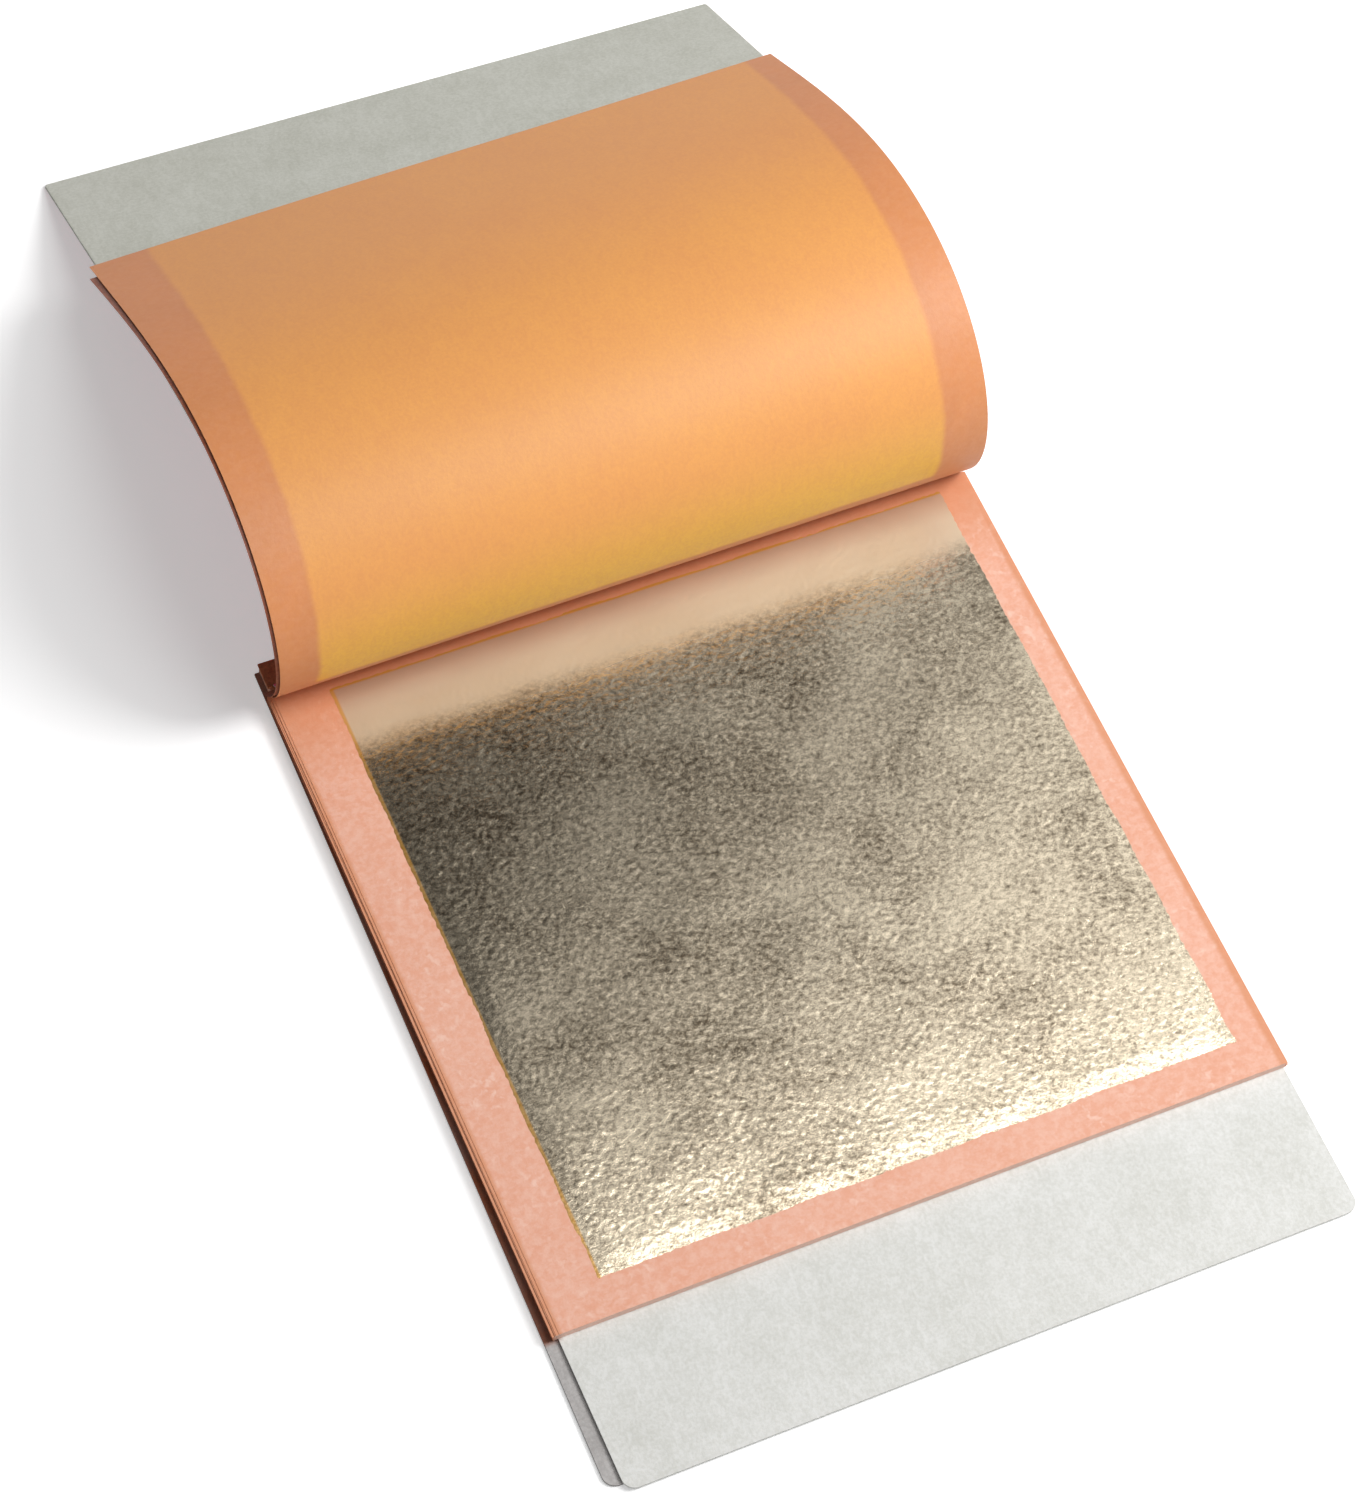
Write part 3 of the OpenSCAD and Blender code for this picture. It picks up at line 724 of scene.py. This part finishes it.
def metal_square(n, x, s):
    """Where the turned metal leaf lies behind the tissue: within half its side of its middle, which
    moves to the right with the skew, and past the distance from the fold where it starts."""
    sheets = bpy.context.scene.booklet_sheets
    blur = bpy.context.scene.booklet_surface.square_blur
    half = sheets.gold_side / 2
    start = sheets.leaf_free + sheets.turned_gold_peek - sheets.gold_side
    skew = sheets.turned_gold_skew / sheets.gold_side
    middle = n.times(n.minus(s, start + half), skew)
    off = n.minus(n.minus(x, sheets.turned_gold_right), middle)
    across = n.span(n.math("ABSOLUTE", off), half + blur, half - blur)
    return n.times(across, n.span(s, start - blur, start + blur))


def metal_material(name, on_sheet, strength, rims=(), painted_reflection_start=None):
    """Beaten leaf metal: pale gold with deeper hollows and a fine crinkle. rims are thin edges with yellow
    light painted on, as on edges turned up to the light, each as (axis, place where it starts, place where
    it is full, share). From the strip's given start towards the fold, a pale painted reflection of the
    turned leaf covers the metal, which is smoother, rougher and less metallic there, with painted shade
    deeper near the fold."""
    colours, surface = bpy.context.scene.booklet_colours, bpy.context.scene.booklet_surface
    material, n = new_material(name)
    v = place(n, on_sheet)
    crinkle = use(n, leaf_crinkle(), v)
    base = n.blend(n.times(crinkle["Hollow"], 0.95), rgba(colours.metal), rgba(colours.metal_deep))
    height, roughness = crinkle["Height"], n.span(crinkle["Cloud"], 0, 1, 0.24, 0.17)
    parts = axes(n, v) if rims else None
    painted_reflection_mask = None
    if painted_reflection_start is not None:
        drift = n.times(n.minus(n.noise(v, 90), 0.5), 2 * MM)
        # Painted reflection: a pale, less metallic tone for the turned leaf that the metal reflects, by the
        # fold
        painted_reflection_mask = n.span(n.plus(parts[1], drift), painted_reflection_start, painted_reflection_start + surface.painted_reflection_blend)
        base = n.blend(painted_reflection_mask, base, rgba(colours.metal_painted_reflection))
        # Painted shade: darker and browner still close to the fold, under the turned leaves
        shaded = painted_reflection_start + 0.6 * surface.painted_reflection_band, painted_reflection_start + surface.painted_reflection_band - 1 * MM
        painted_fold_shade = n.times(n.span(parts[1], *shaded), 0.35)
        base = n.blend(painted_fold_shade, base, rgba(colours.painted_rouge_shade))
        height = n.times(height, n.span(painted_reflection_mask, 0, 1, 1, 0.25))
        roughness = n.plus(roughness, n.times(painted_reflection_mask, 0.2))
    # Painted light: yellow, less metallic rims, as on edges turned up to the light
    for axis, start, full, weight in rims:
        line = n.times(n.span(parts[axis], start, full), weight)
        base = n.blend(line, base, rgba(colours.metal_painted_rim))
        painted_reflection_mask = line if painted_reflection_mask is None else n.most(painted_reflection_mask, line)
    normal = bump(n, height, strength, surface.metal_bump)
    shader = finish_material(n, base, roughness, normal, Metallic=1.0)
    if painted_reflection_mask is not None:
        n.set(shader.inputs["Metallic"], n.span(painted_reflection_mask, 0, 1, 1, 0.45, smooth=False))
    return material


def wire_material():
    """Bright drawn wire with faint scratches along it."""
    wire = bpy.context.scene.booklet_colours.wire
    material, n = new_material("staple_wire")
    scratch = n.noise(place(n, False), 4000, 3, 0.6, stretch=(0.15, 1, 1))
    base = n.blend(n.span(scratch, 0.3, 0.7), rgba(wire), rgba([v * 0.75 for v in wire]))
    finish_material(n, base, n.span(scratch, 0.3, 0.7, 0.22, 0.4), Metallic=1.0)
    return material


def edge_material():
    """Glued edges of the bound leaves: thin stripes of tissue, dulled by glue."""
    colours = bpy.context.scene.booklet_colours
    material, n = new_material("bound_edge")
    v = place(n, False)
    stripe = n.noise(v, 20000, 1, stretch=(0.02, 0.02, 1))
    smear = n.noise(v, scale=500, detail=3, rough=0.6)
    base = n.blend(n.span(stripe, 0.4, 0.6), rgba(colours.rouge), rgba(colours.rouge_edge))
    base = n.blend(n.times(n.span(smear, 0.5, 0.75), 0.4), base, rgba(colours.rouge_pale))
    normal = bump(n, stripe, 0.4, 0.05 * MM)
    finish_material(n, base, n.span(smear, 0.3, 0.7, 0.45, 0.8), normal)
    return material


def dress(obj, material):
    """Gives an object one material."""
    obj.data.materials.clear()
    obj.data.materials.append(material)


# ---------------------------------------------------------------- stage


def flat_piece(name, low, high, face_down=False):
    """A level rectangle between two corners."""
    corners = [low, (high[0], low[1], low[2]), high, (low[0], high[1], low[2])]
    mesh = bpy.data.meshes.new(name)
    mesh.from_pydata(corners, [], [(0, 3, 2, 1) if face_down else (0, 1, 2, 3)])
    return new_object(name, mesh)


def standing(at, forward, right):
    """The place of a lamp or camera at one point that looks forward. Its right is squared to forward."""
    forward, right = np.array(forward, float), np.array(right, float)
    forward /= np.linalg.norm(forward)
    right -= forward * (right @ forward)
    right /= np.linalg.norm(right)
    placed = np.eye(4)
    placed[:3, :3] = np.stack([right, np.cross(right, forward), -forward], 1)
    placed[:3, 3] = at
    return Matrix(placed.tolist())


# ---------------------------------------------------------------- operators


class BOOKLET_OT_front_cover(bpy.types.Operator):
    """Build the front cover: a curled card that lies on the table with its far edge"""

    bl_idname = "booklet.front_cover"
    bl_label = "Front cover"

    def execute(self, context):
        colours = context.scene.booklet_colours
        piece = closed_sheet("front_cover_card", *cover_grid(context.scene.booklet_sheets))
        # The front cover's card is darkened by painted shade
        card = colours.card, colours.card_fibre, colours.painted_shade, colours.outside
        dress(piece, card_material("front_cover_card", True, *card))
        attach(piece, "front_cover")
        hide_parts("front_cover")
        return {"FINISHED"}


class BOOKLET_OT_turned_leaves(bpy.types.Operator):
    """Build the two turned tissue leaves, nested in one another"""

    bl_idname = "booklet.turned_leaves"
    bl_label = "Turned leaves"

    def execute(self, context):
        sheets = context.scene.booklet_sheets
        colours = context.scene.booklet_colours
        first_depth = sheets.tissue + 2 * sheets.sheet_gap + sheets.gold
        # The first leaf takes the dark under colour, which is painted shade
        first = sheets.first_leaf_out, sheets.first_leaf_short, first_depth, colours.under
        second = 0, 0, 0, colours.turned
        rows, columns = TURNED_GRID
        for name, node, body, (out, short, depth, plain) in (
            ("turned_leaf_outer", "tissue_leaf_02", "second_leaf", second),
            ("turned_leaf_inner", "tissue_leaf_01", "first_leaf", first),
        ):
            s = np.linspace(0, sheets.leaf_free - short, rows)
            middle = -sheets.turned_left - out * (0.45 + 0.55 * (s / sheets.leaf_free) ** 4)
            piece = turned_sheet(name, s, middle, sheets.turned_width, depth, sheets.tissue, columns)
            dress(piece, turned_material(name, plain, depth == 0))
            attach(piece, body)
            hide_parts(node)
        return {"FINISHED"}


class BOOKLET_OT_turned_metal(bpy.types.Operator):
    """Build the metal leaf that lies between the two turned tissue leaves"""

    bl_idname = "booklet.turned_metal"
    bl_label = "Turned metal leaf"

    def execute(self, context):
        sheets = context.scene.booklet_sheets
        rows, columns = METAL_GRID
        end = sheets.leaf_free + sheets.turned_gold_peek
        s = np.linspace(end - sheets.gold_side, end, rows)
        along = (s - s[0]) / sheets.gold_side - 0.5
        middle = sheets.turned_gold_right + sheets.turned_gold_skew * along
        depth = sheets.tissue + sheets.sheet_gap
        piece = turned_sheet(
            "turned_metal_leaf", s, middle, sheets.gold_side, depth, sheets.gold, columns
        )
        rim = context.scene.booklet_surface.metal_rim
        # The turned metal's far edge gets a painted yellow rim of light
        rims = [(1, end - rim, end - 0.6 * rim, 0.85)]
        dress(piece, metal_material("turned_metal_leaf", True, 0.4, rims))
        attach(piece, "first_leaf")
        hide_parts("gold_leaf_01")
        return {"FINISHED"}


class BOOKLET_OT_bare_metal(bpy.types.Operator):
    """Build the bare metal leaf on top of the block, crinkled and with ragged edges"""

    bl_idname = "booklet.bare_metal"
    bl_label = "Bare metal leaf"

    def execute(self, context):
        surface = context.scene.booklet_surface
        low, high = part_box("gold_leaf_02")
        grids = crinkled_grid(context.scene.booklet_sheets, surface, low)
        piece = closed_sheet("bare_metal_leaf", *grids, plain_bottom=True)
        rim = surface.metal_rim
        # The bare metal's left and far edges get painted yellow rims of light
        rims = [
            (0, low.x + 1.3 * rim, low.x + 0.7 * rim, 0.75),
            (1, high.y - rim, high.y - 0.5 * rim, 0.85),
        ]
        # The bare metal leaf gets the strip of painted reflection by the fold
        dress(piece, metal_material("bare_metal_leaf", True, 0.8, rims, high.y - surface.painted_reflection_band))
        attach(piece, "lifted_gold")
        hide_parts("gold_leaf_02")
        return {"FINISHED"}


class BOOKLET_OT_block(bpy.types.Operator):
    """Finish the closed block: its tissue and metal leaves and its glued margin"""

    bl_idname = "booklet.block"
    bl_label = "Block of leaves"

    def execute(self, context):
        tissue = tissue_material("block_tissue", False)
        metal = metal_material("block_metal", False, 0.4)
        for k in range(FIRST_IN_BLOCK, LEAVES + 1):
            dress(NODES[f"tissue_leaf_{k:02d}"], tissue)
        for k in range(FIRST_IN_BLOCK, LEAVES):
            dress(NODES[f"gold_leaf_{k:02d}"], metal)
        dress(NODES["bound_margin"], edge_material())
        return {"FINISHED"}


class BOOKLET_OT_cards(bpy.types.Operator):
    """Finish the back cover, the sheet pasted under it and the front cover's margin"""

    bl_idname = "booklet.cards"
    bl_label = "Cards"

    def execute(self, context):
        colours = context.scene.booklet_colours
        for node, name, light, dark, painted_rouge_shade in (
            ("back_cover", "back_cover_card", colours.card, colours.card_fibre, colours.painted_rouge_shade),
            # Painted shade and reflected rouge light: the front cover's margin is coloured rouge and dark
            # brown for the gap under the turned leaves
            ("front_cover_margin", "margin_card", colours.rouge_edge, colours.painted_rouge_shade, None),
            # The pasted sheet's greyer colours are painted shade
            ("backing_sheet", "pasted_board", colours.board_painted_shade, colours.board_fibre_painted_shade, colours.painted_rouge_shade),
        ):
            dress(NODES[node], card_material(name, False, light, dark, painted_rouge_shade=painted_rouge_shade))
        return {"FINISHED"}


class BOOKLET_OT_staples(bpy.types.Operator):
    """Finish the two wire staples"""

    bl_idname = "booklet.staples"
    bl_label = "Staples"

    def execute(self, context):
        dress(NODES["staples"], wire_material())
        return {"FINISHED"}


class BOOKLET_OT_stage(bpy.types.Operator):
    """Set up the pale table, the soft lights, the white surroundings and the camera"""

    bl_idname = "booklet.stage"
    bl_label = "Stage"

    def execute(self, context):
        stage = context.scene.booklet_stage
        self.table(stage)
        self.lights(stage)
        self.dark_card(stage)
        self.world(context, stage)
        self.camera(context, stage)
        context.scene.view_settings.view_transform = "Standard"
        return {"FINISHED"}

    def table(self, stage):
        half = stage.floor_half
        table = flat_piece("table_top", (-half, -half, 0), (half, half, 0))
        material, n = new_material("table_top")
        diffuse = n.add("ShaderNodeBsdfDiffuse", {"Color": rgba(stage.floor)})
        lift = n.times(n.add("ShaderNodeLightPath").outputs["Is Camera Ray"], stage.floor_lift)
        lift = n.add("ShaderNodeEmission", {"Color": WHITE, "Strength": lift})
        both = n.add("ShaderNodeAddShader", {0: diffuse.outputs[0], 1: lift.outputs[0]})
        n.add("ShaderNodeOutputMaterial", {"Surface": both.outputs[0]})
        dress(table, material)

    def lights(self, stage):
        for name, watts, size, at in (
            ("key_light", stage.key_power, stage.key_size, stage.key_at),
            ("top_light", stage.top_power, stage.top_size, stage.top_at),
        ):
            data = bpy.data.lights.new(name, "AREA")
            data.shape = "DISK"
            data.size = size
            data.energy = watts
            lamp = new_object(name, data)
            forward = np.array(stage.lights_aim) - np.array(at)
            lamp.matrix_world = standing(at, forward, np.cross(forward, (0, 0, 1)))

    def dark_card(self, stage):
        """A card over the back of the table. Only reflections see it: it is dark in its middle, fades
        to white towards its near edge, sooner at the right, and has clouds and flecks there."""
        card = flat_piece("dark_card", stage.card_low, stage.card_high, face_down=True)
        for ray in ("camera", "diffuse", "transmission", "volume_scatter", "shadow"):
            setattr(card, f"visible_{ray}", False)
        material, n = new_material("dark_card")
        v = place(n, False)
        across, along, _ = axes(n, v)
        near = n.span(n.plus(along, n.times(across, -0.33)), -16 * MM, -70 * MM)
        right = n.times(n.span(across, 0, 80 * MM), 0.36)
        far = n.span(along, 120 * MM, 250 * MM)
        left = n.span(across, -80 * MM, -200 * MM)
        cloud = n.times(n.span(n.noise(v, 38), 0.45, 0.75), 0.25)
        fleck = n.span(n.noise(v, 120, 2), 0.48, 0.62)
        open_side = n.span(n.plus(across, n.times(along, -0.7)), -20 * MM, 8 * MM)
        cloud = n.times(n.plus(cloud, fleck), open_side)
        cloud = n.times(cloud, n.span(along, 34 * MM, 6 * MM))
        light = n.most(n.plus(near, n.plus(right, cloud)), far)
        light = n.most(light, left, clamp=True)
        light = n.span(light, 0, 1, stage.card_shade, 1, smooth=False)
        glow = n.add("ShaderNodeEmission", {"Color": WHITE, "Strength": light})
        n.add("ShaderNodeOutputMaterial", {"Surface": glow.outputs[0]})
        dress(card, material)

    def world(self, context, stage):
        world = bpy.data.worlds.new("white_surroundings")
        context.scene.world = world
        world.use_nodes = True
        n = Nodes(world.node_tree)
        path = n.add("ShaderNodeLightPath").outputs
        seen = n.most(path["Is Camera Ray"], path["Is Glossy Ray"])
        seen = n.most(seen, path["Is Transmission Ray"])
        sky = n.add("ShaderNodeBackground", {"Color": WHITE, "Strength": stage.sky})
        white = n.add("ShaderNodeBackground", {"Color": WHITE, "Strength": 1})
        mix = n.add("ShaderNodeMixShader", {0: seen, 1: sky.outputs[0], 2: white.outputs[0]})
        n.add("ShaderNodeOutputWorld", {"Surface": mix.outputs[0]})

    def camera(self, context, stage):
        data = bpy.data.cameras.new("camera")
        data.sensor_fit = "VERTICAL"
        data.sensor_height = 36
        data.lens = stage.lens
        data.shift_x, data.shift_y = stage.shift_x, stage.shift_y
        data.clip_end = 20
        camera = new_object("camera", data)
        camera.matrix_world = standing(stage.camera_at, stage.camera_forward, stage.camera_right)
        context.scene.camera = camera


class BOOKLET_PT_panel(bpy.types.Panel):
    """Lists the booklet's settings and the operators that build it"""

    bl_idname = "BOOKLET_PT_panel"
    bl_label = "Gold leaf booklet"
    bl_space_type = "VIEW_3D"
    bl_region_type = "UI"
    bl_category = "Booklet"

    def draw(self, context):
        for operator in OPERATORS:
            self.layout.operator(operator.bl_idname)
        for settings in SETTINGS:
            box = self.layout.box()
            group_of = getattr(context.scene, settings)
            for key in group_of.__annotations__:
                box.prop(group_of, key)


OPERATORS = (
    BOOKLET_OT_front_cover,
    BOOKLET_OT_turned_leaves,
    BOOKLET_OT_turned_metal,
    BOOKLET_OT_bare_metal,
    BOOKLET_OT_block,
    BOOKLET_OT_cards,
    BOOKLET_OT_staples,
    BOOKLET_OT_stage,
)
SETTINGS = {
    "booklet_sheets": BookletSheets,
    "booklet_curl": BookletCurl,
    "booklet_surface": BookletSurface,
    "booklet_colours": BookletColours,
    "booklet_stage": BookletStage,
}


def register():
    for settings in SETTINGS.values():
        bpy.utils.register_class(settings)
    for name, settings in SETTINGS.items():
        setattr(bpy.types.Scene, name, PointerProperty(type=settings))
    for operator in OPERATORS:
        bpy.utils.register_class(operator)
    bpy.utils.register_class(BOOKLET_PT_panel)


def unregister():
    bpy.utils.unregister_class(BOOKLET_PT_panel)
    for operator in reversed(OPERATORS):
        bpy.utils.unregister_class(operator)
    for name in SETTINGS:
        delattr(bpy.types.Scene, name)
    for settings in SETTINGS.values():
        bpy.utils.unregister_class(settings)


def main():
    register()
    bpy.ops.booklet.front_cover()
    bpy.ops.booklet.turned_leaves()
    bpy.ops.booklet.turned_metal()
    bpy.ops.booklet.bare_metal()
    bpy.ops.booklet.block()
    bpy.ops.booklet.cards()
    bpy.ops.booklet.staples()
    bpy.ops.booklet.stage()


if __name__ == "__main__":
    main()
